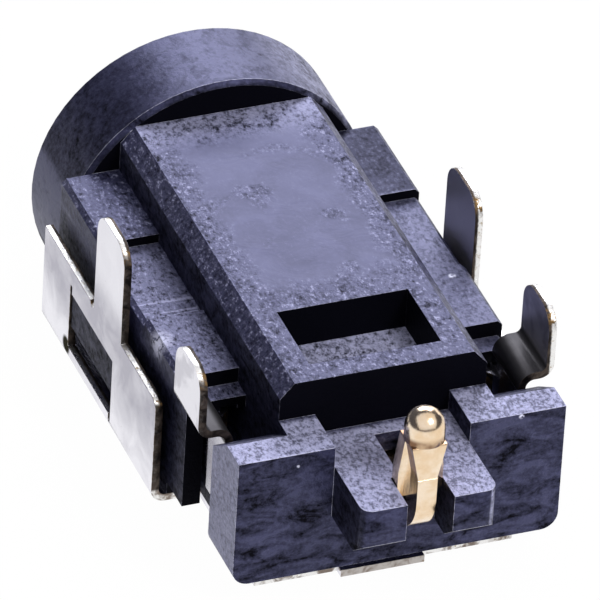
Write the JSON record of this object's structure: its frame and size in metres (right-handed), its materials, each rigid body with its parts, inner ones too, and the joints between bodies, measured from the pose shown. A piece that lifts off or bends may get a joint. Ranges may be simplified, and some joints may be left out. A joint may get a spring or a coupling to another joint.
{
  "type": "dc barrel jack",
  "caption": "Low-profile DC power jack with a round nose, moulded body under a folded metal shell, solder tabs, inner pin with a bent round tail and spring ground contacts.",
  "frame": {"origin": "plug axis at the mating face of the nose", "axes": "-Y out of the plug opening, +Z towards the board side and the solder tails, +X to the left seen from the tail end"},
  "size_m": [0.009, 0.0168, 0.006],
  "materials": {
    "black_lcp": "moulded black glass-filled polymer with a fine grain and flow marks",
    "nickel_plate": "bright nickel-plated stamped sheet",
    "gold_plate": "pale gold-plated coined pin",
    "contact_metal": "nickel-plated spring sheet"
  },
  "bodies": {
    "root": {"housing": "black_lcp", "shield_shell": "nickel_plate", "centre_pin": "gold_plate", "ground_contact_left": "contact_metal", "ground_contact_right": "contact_metal"}
  },
  "joints": []
}
